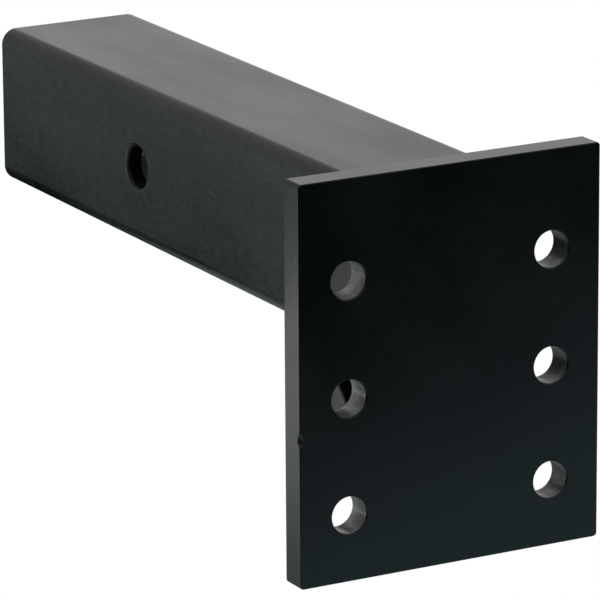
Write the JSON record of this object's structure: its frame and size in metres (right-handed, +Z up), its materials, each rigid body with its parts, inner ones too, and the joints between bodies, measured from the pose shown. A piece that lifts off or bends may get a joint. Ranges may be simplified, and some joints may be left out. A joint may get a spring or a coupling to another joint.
{
  "type": "pintle hook mount",
  "caption": "Welded steel mount: an upright drilled plate on a square tube shank with a brace bar and a hitch pin hole, to carry a pintle hook on a tow receiver.",
  "frame": {"origin": "centre of the hitch pin hole, on the shank tube's long axis", "axes": "+X along the hitch pin, +Y from the plate to the shank's free end, +Z up"},
  "size_m": [0.127, 0.3096, 0.1524],
  "materials": {
    "black_paint": "semi-gloss black paint",
    "painted_weld": "semi-gloss black paint over weld"
  },
  "bodies": {
    "root": {"mounting_plate": "black_paint", "shank_tube": "black_paint", "brace_bar": "black_paint", "weld_top": "painted_weld", "weld_right": "painted_weld", "weld_bottom": "painted_weld", "weld_left": "painted_weld", "weld_brace_plate": "painted_weld", "weld_brace_plate_left": "painted_weld", "weld_brace_plate_right": "painted_weld", "weld_brace_tube": "painted_weld", "weld_brace_tube_left": "painted_weld", "weld_brace_tube_right": "painted_weld"}
  },
  "joints": []
}
